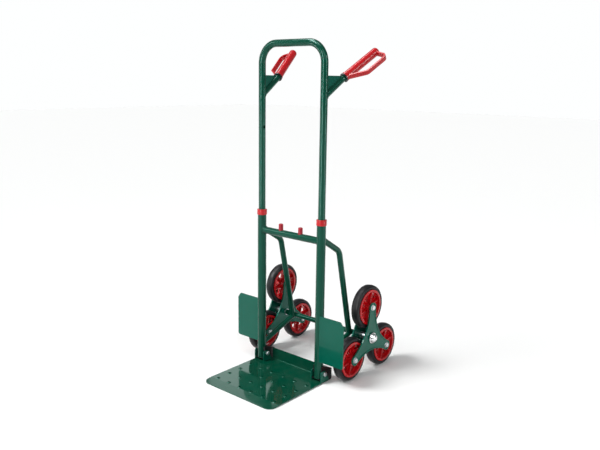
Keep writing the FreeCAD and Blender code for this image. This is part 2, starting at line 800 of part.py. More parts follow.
def hinge_bolts():
    """A bolt and a nut on each side: the toe plate's ears turn on the bolt."""
    pieces = []
    out = ear_half_gap + ear_thickness + side_gap
    head = V(upright_x + out, pivot_y, pivot_z)
    nut = V(upright_x - out, pivot_y, pivot_z)
    bolt = rod(nut - X_AXIS * (hinge_head_height + hinge_bolt_tail), head, hinge_bolt_od / 2)
    bolt = bolt.fuse(hexagon(head, X_AXIS, hinge_head_od, hinge_head_height)).removeSplitter()
    collar_nut = hexagon(nut, -X_AXIS, hinge_head_od, hinge_head_height)
    collar_nut = collar_nut.cut(rod(nut - X_AXIS * hinge_head_height, nut, hinge_bolt_od / 2))
    for piece in (bolt, collar_nut):
        pieces.append(piece)
        pieces.append(mirrored(piece))
    return Part.makeCompound(pieces)


def both_sides(shape):
    return Part.makeCompound([shape, mirrored(shape)])


def all_parts():
    parts = {
        "crossbar": crossbar(),
        "axle_tube": axle_tube(),
        "axle_rod": axle_rod(),
        "axle_caps": Part.makeCompound([both_sides(hub_washer()), both_sides(hub_cap())]),
        "hinge_bolts": hinge_bolts(),
        "lock_stop_plug": stop_plug(),
        "lock_springs": both_sides(return_spring()),
        "handle_tube": handle_tube(),
        "grip_rings": both_sides(grip_ring()),
        "toe_plate": toe_plate(),
    }
    paired = {
        "upright": upright(), "brace": brace(), "strut": strut(), "guard": guard(), "collar": collar(),
        "shoe": shoe(), "glide": glide(), "grip_stub": stub(), "gusset": gusset(), "grip": grip(),
        "hinge_ears": hinge_ears(), "lock_slider": slider(), "lock_pin": lock_pin(), "release_knob": knob(),
        "star_outer_plate": star_plate(wheel_x + star_plate_gap / 2, 1),
        "star_inner_plate": star_plate(wheel_x - star_plate_gap / 2, -1),
        "star_hub": star_hub(), "wheel_bolts": wheel_bolts(), "wheel_spacers": wheel_spacers(),
    }
    for name, sign in SIDES:
        for piece, shape in paired.items():
            parts[f"{piece}_{name}"] = on_side(shape, sign)
        for place, centre in wheel_centres(sign):
            parts[f"tyre_{name}_{place}"] = tyre(centre)
            parts[f"rim_{name}_{place}"] = rim(centre)
    return parts


os.makedirs("parts", exist_ok=True)
built = all_parts()
for node, shape in built.items():
    placed = shape.copy()
    placed.translate(V(0, -centre_y, 0))
    placed.exportStep(f"parts/{node}.step")
    state = "ok" if placed.isValid() else "INVALID"
    print(f"{node}: {len(placed.Solids)} solid(s), {placed.Volume / 1000:.1f} cm3, {state}")
print(f"{len(built)} nodes, handle travel {handle_travel:.1f} mm, origin shift {centre_y:.2f} mm")
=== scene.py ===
# Looks for a stair-climbing hand truck: paint, plastic, rubber and plated steel on its frame.
import math

import bmesh
import bpy
from mathutils import Matrix, Vector


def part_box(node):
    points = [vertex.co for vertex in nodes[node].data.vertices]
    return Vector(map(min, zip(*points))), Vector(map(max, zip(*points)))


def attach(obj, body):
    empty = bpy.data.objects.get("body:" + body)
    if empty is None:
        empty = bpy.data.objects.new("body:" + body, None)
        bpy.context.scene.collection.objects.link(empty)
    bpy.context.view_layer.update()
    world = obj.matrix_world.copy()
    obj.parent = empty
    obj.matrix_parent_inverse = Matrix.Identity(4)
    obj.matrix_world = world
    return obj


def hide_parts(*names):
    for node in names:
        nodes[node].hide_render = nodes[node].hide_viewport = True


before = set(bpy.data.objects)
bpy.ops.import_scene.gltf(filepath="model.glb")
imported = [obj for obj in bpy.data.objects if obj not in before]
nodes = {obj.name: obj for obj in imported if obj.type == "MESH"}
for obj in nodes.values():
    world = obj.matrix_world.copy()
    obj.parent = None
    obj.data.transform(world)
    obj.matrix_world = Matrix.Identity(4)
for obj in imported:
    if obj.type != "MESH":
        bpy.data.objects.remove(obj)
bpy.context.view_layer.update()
sides = {"left": -1, "right": 1}
places = ("top", "front", "rear")
xAxis = Vector((1, 0, 0))
zAxis = Vector((0, 0, 1))
poleRadius = 0.00001  # a turned shape ends in this small hole instead of a point
print("frame loaded:", len(nodes), "nodes")


def middle(name):
    low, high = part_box(name)
    return (low + high) / 2


def span(name):
    low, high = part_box(name)
    return high - low


viewSetup = {"azimuth": 40.55, "elevation": 12.11, "roll": 0.76, "lens": 40.37, "sensor": 36.0,
             "place": (1.5410, -1.7948, 1.0536)}


def addCamera(setup):
    azimuth = math.radians(setup["azimuth"])
    elevation = math.radians(setup["elevation"])
    roll = math.radians(setup["roll"])
    back = Vector((math.cos(elevation) * math.sin(azimuth),
                   -math.cos(elevation) * math.cos(azimuth), math.sin(elevation)))
    level = Vector((math.cos(azimuth), math.sin(azimuth), 0))
    upright = back.cross(level)
    right = level * math.cos(roll) + upright * math.sin(roll)
    up = back.cross(right)
    data = bpy.data.cameras.new("camera")
    data.lens = setup["lens"]
    data.sensor_width = setup["sensor"]
    data.clip_end = 50
    camera = bpy.data.objects.new("camera", data)
    turn = Matrix((right, up, back)).transposed().to_4x4()
    camera.matrix_world = Matrix.Translation(setup["place"]) @ turn
    bpy.context.scene.collection.objects.link(camera)
    bpy.context.scene.camera = camera


studioSetup = {"floorSize": 40.0, "floorTone": (0.97, 0.97, 0.96, 1),
               "backdrop": (0.99, 1.0, 1.0, 1), "backdropStrength": 1.0,
               "roomTone": (0.95, 0.98, 1.0, 1), "roomStrength": 0.28}
sunSetup = {  # name: direction the light comes from, strength, softness in degrees
    "keySun": ((-1.0, -1.5, 2.1), 2.65, 24.0),
    "fillSun": ((1.7, -1.2, 1.3), 0.75, 40.0),
}
lampSetup = {  # name: place, aim, width, height, watts, lights matt surfaces too
    "frontStrip": ((0.02, -3.0, 1.10), (0, 0, 0.8), 0.55, 2.8, 75, False),
    "leftStrip": ((-1.9, -1.5, 1.1), (0, 0, 0.7), 0.20, 2.4, 18, False),
    "rightStrip": ((2.3, 0.5, 1.2), (0, 0, 0.7), 0.22, 2.4, 26, False),
    "plateGlow": ((-2.41, 1.92, 1.48), (-0.1, -0.25, 0.0), 0.7, 1.2, 3.6, False),
    "topStrip": ((-0.9, 0.0, 3.0), (0, 0, 0.9), 0.9, 0.9, 28, False),
    "topPanel": ((0.2, -0.6, 3.0), (0, 0, 0.2), 0.6, 0.6, 9, True),
}


def addStudio(setup, suns, lamps):
    half = setup["floorSize"] / 2
    corners = [(-half, -half, 0), (half, -half, 0), (half, half, 0), (-half, half, 0)]
    floor = meshPiece("studioFloor", corners, [(0, 1, 2, 3)])
    floor.data.materials.append(floorMaterial(setup["floorTone"]))
    world = bpy.data.worlds.new("studioWorld")
    world.use_nodes = True
    tree = world.node_tree
    room = tree.nodes["Background"]
    room.inputs["Color"].default_value = setup["roomTone"]
    room.inputs["Strength"].default_value = setup["roomStrength"]
    backdrop = addNode(tree, "ShaderNodeBackground",
                       {"Color": setup["backdrop"], "Strength": setup["backdropStrength"]})
    path = addNode(tree, "ShaderNodeLightPath")
    blend = addNode(tree, "ShaderNodeMixShader",
                    {0: path.outputs["Is Camera Ray"], 1: room.outputs[0], 2: backdrop.outputs[0]})
    tree.links.new(blend.outputs[0], tree.nodes["World Output"].inputs["Surface"])
    bpy.context.scene.world = world
    bpy.context.scene.view_settings.view_transform = "Standard"
    for name, (source, strength, softness) in suns.items():
        data = bpy.data.lights.new(name, "SUN")
        data.energy = strength
        data.angle = math.radians(softness)
        sun = bpy.data.objects.new(name, data)
        sun.rotation_euler = Vector(source).to_track_quat("Z", "Y").to_euler()
        bpy.context.scene.collection.objects.link(sun)
    for name, (place, aim, width, height, watts, lightsMatt) in lamps.items():
        data = bpy.data.lights.new(name, "AREA")
        data.shape = "RECTANGLE"
        data.size = width
        data.size_y = height
        data.energy = watts
        lamp = bpy.data.objects.new(name, data)
        lamp.location = place
        lamp.visible_diffuse = lightsMatt
        lamp.rotation_euler = (Vector(place) - Vector(aim)).to_track_quat("Z", "Y").to_euler()
        bpy.context.scene.collection.objects.link(lamp)


def meshPiece(name, points, faces, smooth=False):
    mesh = bpy.data.meshes.new(name)
    mesh.from_pydata([tuple(p) for p in points], [], faces)
    mesh.update()
    piece = bpy.data.objects.new(name, mesh)
    bpy.context.scene.collection.objects.link(piece)
    if smooth:
        mesh.polygons.foreach_set("use_smooth", [True] * len(mesh.polygons))
    return piece


def cleanNormals(piece):
    form = bmesh.new()
    form.from_mesh(piece.data)
    bmesh.ops.recalc_face_normals(form, faces=form.faces)
    form.to_mesh(piece.data)
    form.free()


# quads between rings of points; an open row of rings gets its two ends closed
def ringFaces(rings, count, closed=True):
    faces = []
    last = rings if closed else rings - 1
    for ring in range(last):
        after = (ring + 1) % rings
        for step in range(count):
            ahead = (step + 1) % count
            faces.append((ring * count + step, ring * count + ahead,
                          after * count + ahead, after * count + step))
    if not closed:
        faces.append(tuple(reversed(range(count))))
        faces.append(tuple((rings - 1) * count + step for step in range(count)))
    return faces


def lathe(profile, centre, axis, steps=64):
    axis = Vector(axis).normalized()
    side = axis.orthogonal().normalized()
    other = axis.cross(side)
    points = []
    for step in range(steps):
        turn = 2 * math.pi * step / steps
        spoke = side * math.cos(turn) + other * math.sin(turn)
        points += [centre + axis * along + spoke * radius for radius, along in profile]
    return points, ringFaces(steps, len(profile))


def joined(shells):
    points = []
    faces = []
    for shellPoints, shellFaces in shells:
        offset = len(points)
        points += shellPoints
        faces += [tuple(index + offset for index in face) for face in shellFaces]
    return points, faces


def boredRing(centre, axis, inner, outer, thickness, bevel, steps=48):
    half = thickness / 2
    profile = [(inner, -half), (outer - bevel, -half), (outer, -half + bevel),
               (outer, half - bevel), (outer - bevel, half), (inner, half)]
    return lathe(profile, centre, axis, steps)


# the line where a round tube leaves a thicker one, with the outward direction at each point
def seamLoop(branch, main, steps):
    start, along, radius = branch
    origin, axis, mainRadius = main
    side = along.orthogonal().normalized()
    other = along.cross(side)
    run = along - axis * along.dot(axis)
    loop = []
    for step in range(steps):
        turn = 2 * math.pi * step / steps
        spoke = side * math.cos(turn) + other * math.sin(turn)
        offset = start + spoke * radius - origin
        flat = offset - axis * offset.dot(axis)
        reach = flat.dot(run)
        beyond = flat.length_squared - mainRadius ** 2
        inside = max(reach * reach - run.length_squared * beyond, 0)
        place = start + spoke * radius + along * ((math.sqrt(inside) - reach) / run.length_squared)
        away = place - origin
        loop.append((place, (spoke + (away - axis * away.dot(axis)).normalized()).normalized()))
    return loop


def beadLine(start, end, outward, steps):
    return [(start.lerp(end, step / (steps - 1)), outward) for step in range(steps)]


# a rippled bead of weld along a line; an open one tapers at both ends
def weldBead(line, setup, closed=True):
    count = setup["facets"]
    points = []
    for index, (place, outward) in enumerate(line):
        before = line[index - 1][0] if closed or index else place
        after = line[(index + 1) % len(line)][0] if closed or index + 1 < len(line) else place
        ahead = (after - before).normalized()
        up = (outward - ahead * outward.dot(ahead)).normalized()
        across = ahead.cross(up)
        swell = 1 + setup["ripple"] * math.sin(2 * math.pi * index / setup["rippleSteps"])
        if not closed:
            share = (index + setup["endStep"]) / (len(line) - 1 + 2 * setup["endStep"])
            swell *= math.sin(math.pi * share) ** setup["taper"]
        for facet in range(count):
            turn = 2 * math.pi * facet / count
            spoke = up * math.cos(turn) + across * math.sin(turn)
            points.append(place + spoke * setup["radius"] * swell)
    return points, ringFaces(len(line), count, closed=closed)


def finishPiece(name, shell, body, material, replaced=()):
    points, faces = shell
    piece = meshPiece(name, points, faces, smooth=True)
    cleanNormals(piece)
    piece.data.materials.append(materials[material])
    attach(piece, body)
    if replaced:
        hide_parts(*replaced)
    return piece


def newGroup(name, inputs, outputs):
    group = bpy.data.node_groups.new(name, "ShaderNodeTree")
    for label, kind, value in inputs:
        socket = group.interface.new_socket(name=label, in_out="INPUT", socket_type=kind)
        socket.default_value = value
    for label, kind in outputs:
        group.interface.new_socket(name=label, in_out="OUTPUT", socket_type=kind)
    return group, group.nodes.new("NodeGroupInput"), group.nodes.new("NodeGroupOutput")


def addNode(tree, kind, links=None, **settings):
    node = tree.nodes.new(kind)
    for key, value in settings.items():
        setattr(node, key, value)
    for key, value in (links or {}).items():
        if isinstance(value, bpy.types.NodeSocket):
            tree.links.new(value, node.inputs[key])
        else:
            node.inputs[key].default_value = value
    return node


def noiseNode(tree, scale, detail=3.0, roughness=0.5):
    place = addNode(tree, "ShaderNodeTexCoord")
    return addNode(tree, "ShaderNodeTexNoise", {"Vector": place.outputs["Object"], "Scale": scale,
                                                "Detail": detail, "Roughness": roughness})


def rangeNode(tree, value, low, high, toLow, toHigh):
    return addNode(tree, "ShaderNodeMapRange", {"Value": value, "From Min": low, "From Max": high,
                                                "To Min": toLow, "To Max": toHigh})


def mixColour(tree, factor, first, second, blend="MIX"):
    node = tree.nodes.new("ShaderNodeMix")
    node.data_type = "RGBA"
    node.blend_type = blend
    for key, value in ((0, factor), (6, first), (7, second)):
        if isinstance(value, bpy.types.NodeSocket):
            tree.links.new(value, node.inputs[key])
        else:
            node.inputs[key].default_value = value
    return node.outputs[2]


def orangePeelGroup():
    group, enter, leave = newGroup("orangePeel", [
        ("Colour", "NodeSocketColor", (0, 0.1, 0.07, 1)),
        ("Deep Colour", "NodeSocketColor", (0, 0.06, 0.04, 1)),
        ("Peel Scale", "NodeSocketFloat", 420.0), ("Gloss", "NodeSocketFloat", 0.22),
        ("Drift", "NodeSocketFloat", 0.06)],
        [("Colour", "NodeSocketColor"), ("Roughness", "NodeSocketFloat"),
         ("Height", "NodeSocketFloat")])
    broad = noiseNode(group, 9.0, 4.0, 0.6)
    tone = rangeNode(group, broad.outputs["Fac"], 0.3, 0.7, 0.0, 1.0)
    colour = mixColour(group, tone.outputs[0], enter.outputs["Deep Colour"],
                       enter.outputs["Colour"])
    peel = noiseNode(group, 420.0, 1.0, 0.4)
    group.links.new(enter.outputs["Peel Scale"], peel.inputs["Scale"])
    smear = noiseNode(group, 34.0, 5.0, 0.65)
    swing = addNode(group, "ShaderNodeMath", {0: smear.outputs["Fac"], 1: 0.5},
                    operation="SUBTRACT")
    amount = addNode(group, "ShaderNodeMath", {0: swing.outputs[0], 1: enter.outputs["Drift"]},
                     operation="MULTIPLY")
    rough = addNode(group, "ShaderNodeMath", {0: amount.outputs[0], 1: enter.outputs["Gloss"]},
                    operation="ADD")
    group.links.new(colour, leave.inputs["Colour"])
    group.links.new(rough.outputs[0], leave.inputs["Roughness"])
    group.links.new(peel.outputs["Fac"], leave.inputs["Height"])
    return group


# a finish rubbed along its edges: the mask is high where a rounded normal leaves the true one
def edgeRubGroup():
    group, enter, leave = newGroup("edgeRub", [
        ("Width", "NodeSocketFloat", 0.0015), ("Breakup", "NodeSocketFloat", 60.0),
        ("Amount", "NodeSocketFloat", 0.5)],
        [("Mask", "NodeSocketFloat")])
    rounded = addNode(group, "ShaderNodeBevel", {"Radius": enter.outputs["Width"]}, samples=3)
    true = addNode(group, "ShaderNodeNewGeometry")
    facing = addNode(group, "ShaderNodeVectorMath",
                     {0: rounded.outputs[0], 1: true.outputs["Normal"]}, operation="DOT_PRODUCT")
    edge = rangeNode(group, facing.outputs["Value"], 0.995, 0.86, 0.0, 1.0)
    patch = noiseNode(group, 60.0, 4.0, 0.7)
    group.links.new(enter.outputs["Breakup"], patch.inputs["Scale"])
    broken = rangeNode(group, patch.outputs["Fac"], 0.42, 0.6, 0.15, 1.0)
    both = addNode(group, "ShaderNodeMath", {0: edge.outputs[0], 1: broken.outputs[0]},
                   operation="MULTIPLY")
    mask = addNode(group, "ShaderNodeMath", {0: both.outputs[0], 1: enter.outputs["Amount"]},
                   operation="MULTIPLY", use_clamp=True)
    group.links.new(mask.outputs[0], leave.inputs["Mask"])
    return group


def floorDustGroup():
    group, enter, leave = newGroup("floorDust", [
        ("Amount", "NodeSocketFloat", 0.2), ("Reach", "NodeSocketFloat", 0.12),
        ("Patch Scale", "NodeSocketFloat", 28.0)],
        [("Mask", "NodeSocketFloat")])
    place = addNode(group, "ShaderNodeTexCoord")
    split = addNode(group, "ShaderNodeSeparateXYZ", {0: place.outputs["Object"]})
    low = rangeNode(group, split.outputs["Z"], enter.outputs["Reach"], 0.0, 0.15, 1.0)
    patch = noiseNode(group, 28.0, 5.0, 0.6)
    group.links.new(enter.outputs["Patch Scale"], patch.inputs["Scale"])
    spots = rangeNode(group, patch.outputs["Fac"], 0.4, 0.75, 0.0, 1.0)
    both = addNode(group, "ShaderNodeMath", {0: low.outputs[0], 1: spots.outputs[0]},
                   operation="MULTIPLY")
    mask = addNode(group, "ShaderNodeMath", {0: both.outputs[0], 1: enter.outputs["Amount"]},
                   operation="MULTIPLY", use_clamp=True)
    group.links.new(mask.outputs[0], leave.inputs["Mask"])
    return group


def mouldGrainGroup():
    group, enter, leave = newGroup("mouldGrain", [("Grain Scale", "NodeSocketFloat", 900.0)],
                                   [("Height", "NodeSocketFloat"), ("Tone", "NodeSocketFloat")])
    grain = noiseNode(group, 900.0, 2.0, 0.7)
    group.links.new(enter.outputs["Grain Scale"], grain.inputs["Scale"])
    flow = noiseNode(group, 18.0, 3.0, 0.5)
    tone = rangeNode(group, flow.outputs["Fac"], 0.3, 0.7, 0.0, 1.0)
    group.links.new(grain.outputs["Fac"], leave.inputs["Height"])
    group.links.new(tone.outputs[0], leave.inputs["Tone"])
    return group


shaderGroups = {"orangePeel": orangePeelGroup(), "edgeRub": edgeRubGroup(),
                "floorDust": floorDustGroup(), "mouldGrain": mouldGrainGroup()}


def placeGroup(tree, name, **values):
    node = tree.nodes.new("ShaderNodeGroup")
    node.node_tree = shaderGroups[name]
    for key, value in values.items():
        node.inputs[key].default_value = value
    return node


def newMaterial(name, **constants):
    material = bpy.data.materials.new(name)
    material.use_nodes = True
    shader = material.node_tree.nodes["Principled BSDF"]
    for key, value in constants.items():
        shader.inputs[key.replace("_", " ")].default_value = value
    return material, material.node_tree, shader


def bumpInto(tree, shader, height, strength, distance):
    bump = addNode(tree, "ShaderNodeBump",
                   {"Height": height, "Strength": strength, "Distance": distance})
    tree.links.new(bump.outputs["Normal"], shader.inputs["Normal"])


# the whole frame wears one green; the sheet and star greens below are lighter copies of the tube
# green, painted light on the flat guards, ears, gussets and star plates that face the lamps
paintLooks = {  # colour, deep colour, peel scale, gloss, peel depth
    "tubePaint": ((0.0003, 0.058, 0.032, 1), (0.0002, 0.048, 0.026, 1), 260.0, 0.20, 0.00002),
    "litSheetPaint": ((0.0004, 0.092, 0.060, 1), (0.0003, 0.080, 0.051, 1), 240.0, 0.24, 0.00003),
    "litStarPaint": ((0.0006, 0.105, 0.068, 1), (0.0004, 0.088, 0.056, 1), 260.0, 0.26, 0.00002),
    "platePaint": ((0.0003, 0.062, 0.034, 1), (0.0002, 0.052, 0.028, 1), 180.0, 0.08, 0.00002),
}
paintWear = {"thinColour": (0.02, 0.20, 0.13, 1), "rubWidth": 0.0012, "rub": 0.45,
             "dustColour": (0.22, 0.25, 0.22, 1), "dust": 0.06, "dustReach": 0.10,
             "dustRoughness": 0.8, "peelStrength": 0.35}


def paintMaterial(name, look):
    colour, deep, peelScale, gloss, depth = look
    material, tree, shader = newMaterial(name, IOR=1.5, Coat_Weight=0.28, Coat_Roughness=0.04,
                                         Coat_IOR=1.5, Coat_Tint=(0.75, 1.0, 0.95, 1),
                                         Specular_IOR_Level=0.24,
                                         Specular_Tint=(0.22, 1.0, 0.84, 1))
    peel = placeGroup(tree, "orangePeel", **{"Colour": colour, "Deep Colour": deep,
                                             "Peel Scale": peelScale, "Gloss": gloss})
    rub = placeGroup(tree, "edgeRub", Width=paintWear["rubWidth"], Amount=paintWear["rub"])
    dust = placeGroup(tree, "floorDust", Amount=paintWear["dust"], Reach=paintWear["dustReach"])
    thin = mixColour(tree, rub.outputs["Mask"], peel.outputs["Colour"], paintWear["thinColour"])
    dusty = mixColour(tree, dust.outputs["Mask"], thin, paintWear["dustColour"])
    rough = addNode(tree, "ShaderNodeMath", {0: dust.outputs["Mask"], 1: paintWear["dustRoughness"],
                                             2: peel.outputs["Roughness"]},
                    operation="MULTIPLY_ADD")
    tree.links.new(dusty, shader.inputs["Base Color"])
    tree.links.new(rough.outputs[0], shader.inputs["Roughness"])
    bumpInto(tree, shader, peel.outputs["Height"], paintWear["peelStrength"], depth)
    return material


plasticLooks = {  # colour, second colour, roughness, grain scale, grain depth, dust
    "redPlastic": ((0.58, 0.002, 0.008, 1), (0.50, 0.002, 0.006, 1), 0.30, 400.0, 0.00002, 0.02),
    "knobPlastic": ((0.42, 0.004, 0.020, 1), (0.34, 0.003, 0.014, 1), 0.28, 400.0, 0.00002, 0.02),
    "rimPlastic": ((0.58, 0.003, 0.008, 1), (0.46, 0.002, 0.005, 1), 0.24, 300.0, 0.00002, 0.05),
    "gripPlastic": ((0.50, 0.003, 0.008, 1), (0.44, 0.002, 0.006, 1), 0.26, 500.0, 0.000006, 0.01),
    "blackPlastic": ((0.006, 0.006, 0.0065, 1), (0.011, 0.011, 0.012, 1), 0.36, 400.0, 0.00003, 0.05),
    "naturalNylon": ((0.70, 0.69, 0.64, 1), (0.62, 0.61, 0.56, 1), 0.45, 500.0, 0.00003, 0.02),
}
plasticWear = {"paleFactor": 1.5, "paleLift": 0.03, "rubWidth": 0.0006, "rub": 0.08,
               "rubBreakup": 90.0, "dustColour": (0.26, 0.25, 0.24, 1), "dustReach": 0.16,
               "smoother": 0.04, "rougher": 0.05, "grainStrength": 0.4}


def plasticMaterial(name, look):
    colour, second, roughness, scale, depth, dustAmount = look
    material, tree, shader = newMaterial(name, IOR=1.5, Coat_Weight=0.22, Coat_Roughness=0.10,
                                         Specular_IOR_Level=0.26)
    grain = placeGroup(tree, "mouldGrain", **{"Grain Scale": scale})
    dust = placeGroup(tree, "floorDust", Amount=dustAmount, Reach=plasticWear["dustReach"])
    rub = placeGroup(tree, "edgeRub", Width=plasticWear["rubWidth"], Amount=plasticWear["rub"],
                     Breakup=plasticWear["rubBreakup"])
    toned = mixColour(tree, grain.outputs["Tone"], colour, second)
    paler = tuple(min(1.0, channel * plasticWear["paleFactor"] + plasticWear["paleLift"])
                  for channel in colour[:3]) + (1,)
    edged = mixColour(tree, rub.outputs["Mask"], toned, paler)
    dusty = mixColour(tree, dust.outputs["Mask"], edged, plasticWear["dustColour"])
    rough = rangeNode(tree, grain.outputs["Tone"], 0.0, 1.0, roughness - plasticWear["smoother"],
                      roughness + plasticWear["rougher"])
    tree.links.new(dusty, shader.inputs["Base Color"])
    tree.links.new(rough.outputs[0], shader.inputs["Roughness"])
    bumpInto(tree, shader, grain.outputs["Height"], plasticWear["grainStrength"], depth)
    return material


rubberLook = {"colour": (0.0055, 0.0055, 0.007, 1), "second": (0.011, 0.011, 0.013, 1),
              "scuffColour": (0.030, 0.030, 0.031, 1), "dustColour": (0.10, 0.095, 0.09, 1),
              "grainStrength": 0.4, "grainDepth": 0.00004}


def rubberMaterial(look):
    material, tree, shader = newMaterial("tyreRubber", IOR=1.48, Specular_IOR_Level=0.26)
    grain = placeGroup(tree, "mouldGrain", **{"Grain Scale": 420.0})
    dust = placeGroup(tree, "floorDust", Amount=0.30, Reach=0.05, **{"Patch Scale": 40.0})
    toned = mixColour(tree, grain.outputs["Tone"], look["colour"], look["second"])
    scuff = noiseNode(tree, 130.0, 6.0, 0.75)
    scuffMask = rangeNode(tree, scuff.outputs["Fac"], 0.58, 0.74, 0.0, 0.35)
    scuffed = mixColour(tree, scuffMask.outputs[0], toned, look["scuffColour"])
    dusty = mixColour(tree, dust.outputs["Mask"], scuffed, look["dustColour"])
    rough = rangeNode(tree, scuff.outputs["Fac"], 0.3, 0.7, 0.32, 0.50)
    tree.links.new(dusty, shader.inputs["Base Color"])
    tree.links.new(rough.outputs[0], shader.inputs["Roughness"])
    bumpInto(tree, shader, grain.outputs["Height"], look["grainStrength"], look["grainDepth"])
    return material


metalLooks = {  # colour, second colour, roughness low, roughness high, grain scale
    "zincPlate": ((0.78, 0.79, 0.80, 1), (0.60, 0.62, 0.66, 1), 0.22, 0.42, 160.0),
    "chromePlate": ((0.86, 0.87, 0.88, 1), (0.80, 0.81, 0.83, 1), 0.05, 0.12, 60.0),
    "springSteel": ((0.55, 0.55, 0.56, 1), (0.42, 0.42, 0.44, 1), 0.25, 0.40, 240.0),
}


def metalMaterial(name, look):
    colour, second, smoothest, roughest, scale = look
    material, tree, shader = newMaterial(name, Metallic=1.0)
    spangle = noiseNode(tree, scale, 4.0, 0.6)
    marks = noiseNode(tree, scale * 5, 3.0, 0.7)
    tone = rangeNode(tree, spangle.outputs["Fac"], 0.35, 0.65, 0.0, 1.0)
    tree.links.new(mixColour(tree, tone.outputs[0], colour, second), shader.inputs["Base Color"])
    rough = rangeNode(tree, marks.outputs["Fac"], 0.3, 0.7, smoothest, roughest)
    tree.links.new(rough.outputs[0], shader.inputs["Roughness"])
    bumpInto(tree, shader, marks.outputs["Fac"], 0.25, 0.00004)
    return material


def floorMaterial(tone):
    return newMaterial("studioPaper", Base_Color=tone, Roughness=0.9, IOR=1.3)[0]


addCamera(viewSetup)
addStudio(studioSetup, sunSetup, lampSetup)
materials = {name: paintMaterial(name, look) for name, look in paintLooks.items()}
materials.update({name: plasticMaterial(name, look) for name, look in plasticLooks.items()})
materials.update({name: metalMaterial(name, look) for name, look in metalLooks.items()})
materials["tyreRubber"] = rubberMaterial(rubberLook)
print("materials ready:", len(materials))

# material of each CAD node, by the start of its name; the first match holds
# the guards, ears, gussets and star plates take the lighter greens, which are painted light
finishes = (("guard", "litSheetPaint"), ("toe_plate", "platePaint"), ("hinge_ears", "litSheetPaint"),
            ("gusset", "litSheetPaint"), ("star_outer", "litStarPaint"), ("star_inner", "litStarPaint"),
            ("star_hub", "zincPlate"), ("wheel_bolts", "zincPlate"), ("wheel_spacers", "zincPlate"),
            ("hinge_bolts", "zincPlate"), ("lock_pin", "zincPlate"), ("axle_rod", "zincPlate"),
            ("lock_springs", "springSteel"), ("axle_caps", "chromePlate"), ("tyre", "tyreRubber"),
            ("rim", "rimPlastic"), ("grip_rings", "blackPlastic"), ("grip_stub", "tubePaint"),
            ("grip", "gripPlastic"), ("release", "knobPlastic"), ("collar", "redPlastic"),
            ("shoe", "blackPlastic"), ("lock_s", "blackPlastic"), ("glide", "naturalNylon"),
            ("", "tubePaint"))


def dressFrame():
    for name, node in nodes.items():
        finish = next(look for start, look in finishes if name.startswith(start))
        node.data.materials.clear()
        node.data.materials.append(materials[finish])


dressFrame()
print("frame dressed")

tyreShape = {"crown": 0.0010, "treadCurve": ((0.15, 0.45), (0.55, 0.80)), "shoulder": 0.0075,
             "shoulderRows": 6, "bulge": 0.0006, "wallStart": 0.0012, "beadWidth": 0.0032,
             "beadStep": 0.0009, "beadSlope": 0.0010, "seam": 0.0003, "seamWidth": 0.0009,
             "groove": 0.0006, "steps": 112}


def tyreProfile(radius, width, bore, shape):
    half = width / 2
    shoulder = shape["shoulder"]
    tread = half - shoulder
    side = [(radius + shape["seam"], 0.0), (radius, shape["seamWidth"])]
    side += [(radius - shape["crown"] * drop, tread * across)
             for drop, across in shape["treadCurve"]]
    for step in range(shape["shoulderRows"] + 1):
        turn = math.pi / 2 * step / shape["shoulderRows"]
        side.append((radius - shape["crown"] - shoulder * (1 - math.cos(turn)),
                     tread + shoulder * math.sin(turn)))
    wallTop = radius - shape["crown"] - shoulder
    beadTop = bore + shape["beadWidth"]
    wall = half - shape["groove"]
    side.append((wallTop - shape["wallStart"], wall))
    side.append(((wallTop + beadTop) / 2, wall + shape["bulge"]))
    side.append((beadTop + shape["beadSlope"], wall))
    side.append((beadTop, wall - shape["beadStep"]))
    side.append((bore, wall - shape["beadStep"]))
    return [(r, -x) for r, x in reversed(side[1:])] + side


def addTyres():
    for side in sides:
        for place in places:
            spot = side + "_" + place
            node = "tyre_" + spot
            size = span(node)
            bore = span("rim_" + spot).z / 2
            profile = tyreProfile(size.z / 2 - tyreShape["seam"], size.x, bore, tyreShape)
            shell = lathe(profile, middle(node), xAxis, tyreShape["steps"])
            finishPiece("tyreSkin_" + spot, shell, "wheel_" + spot, "tyreRubber",
                        (node,))


addTyres()
print("tyres moulded")

capShape = {"domeRadius": 0.0170, "domeHeight": 0.0140, "rim": 0.0016, "rimSwell": 0.0002,
            "rimStep": 0.0003, "domeInset": 0.0008, "fullness": 0.9, "washerBore": 0.0073,
            "washerRadius": 0.0200, "washerThickness": 0.0020, "washerEdge": 0.0006, "rows": 14,
            "steps": 72}


def domeProfile(shape):
    reach, rise = shape["domeRadius"], shape["domeHeight"]
    profile = [(poleRadius, 0.0), (reach, 0.0), (reach + shape["rimSwell"], shape["rim"] * 0.5),
               (reach - shape["rimStep"], shape["rim"])]
    for step in range(1, shape["rows"]):
        turn = math.pi / 2 * step / shape["rows"]
        profile.append(((reach - shape["domeInset"]) * math.cos(turn) ** shape["fullness"],
                        shape["rim"] + (rise - shape["rim"]) * math.sin(turn)))
    profile.append((poleRadius, rise))
    return profile


def addHubCaps():
    low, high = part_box("axle_caps")
    centre = (low + high) / 2
    shells = []
    for sign, tip in ((-1, low.x), (1, high.x)):
        seat = Vector((tip - sign * capShape["domeHeight"], centre.y, centre.z))
        shells.append(lathe(domeProfile(capShape), seat, xAxis * sign, capShape["steps"]))
        washer = seat - xAxis * (sign * capShape["washerThickness"] / 2)
        shells.append(boredRing(washer, xAxis, capShape["washerBore"], capShape["washerRadius"],
                                capShape["washerThickness"], capShape["washerEdge"],
                                capShape["steps"]))
    finishPiece("domeNuts", joined(shells), "frame", "chromePlate", ("axle_caps",))


addHubCaps()
print("dome nuts turned")

knobShape = {"flutes": 14, "fluteDepth": 0.00045, "edge": 0.0018, "dish": 0.0007, "dishOuter": 0.62,
             "dishInner": 0.50, "skirt": 0.0012, "sideRows": 5, "edgeRows": 4, "steps": 84}


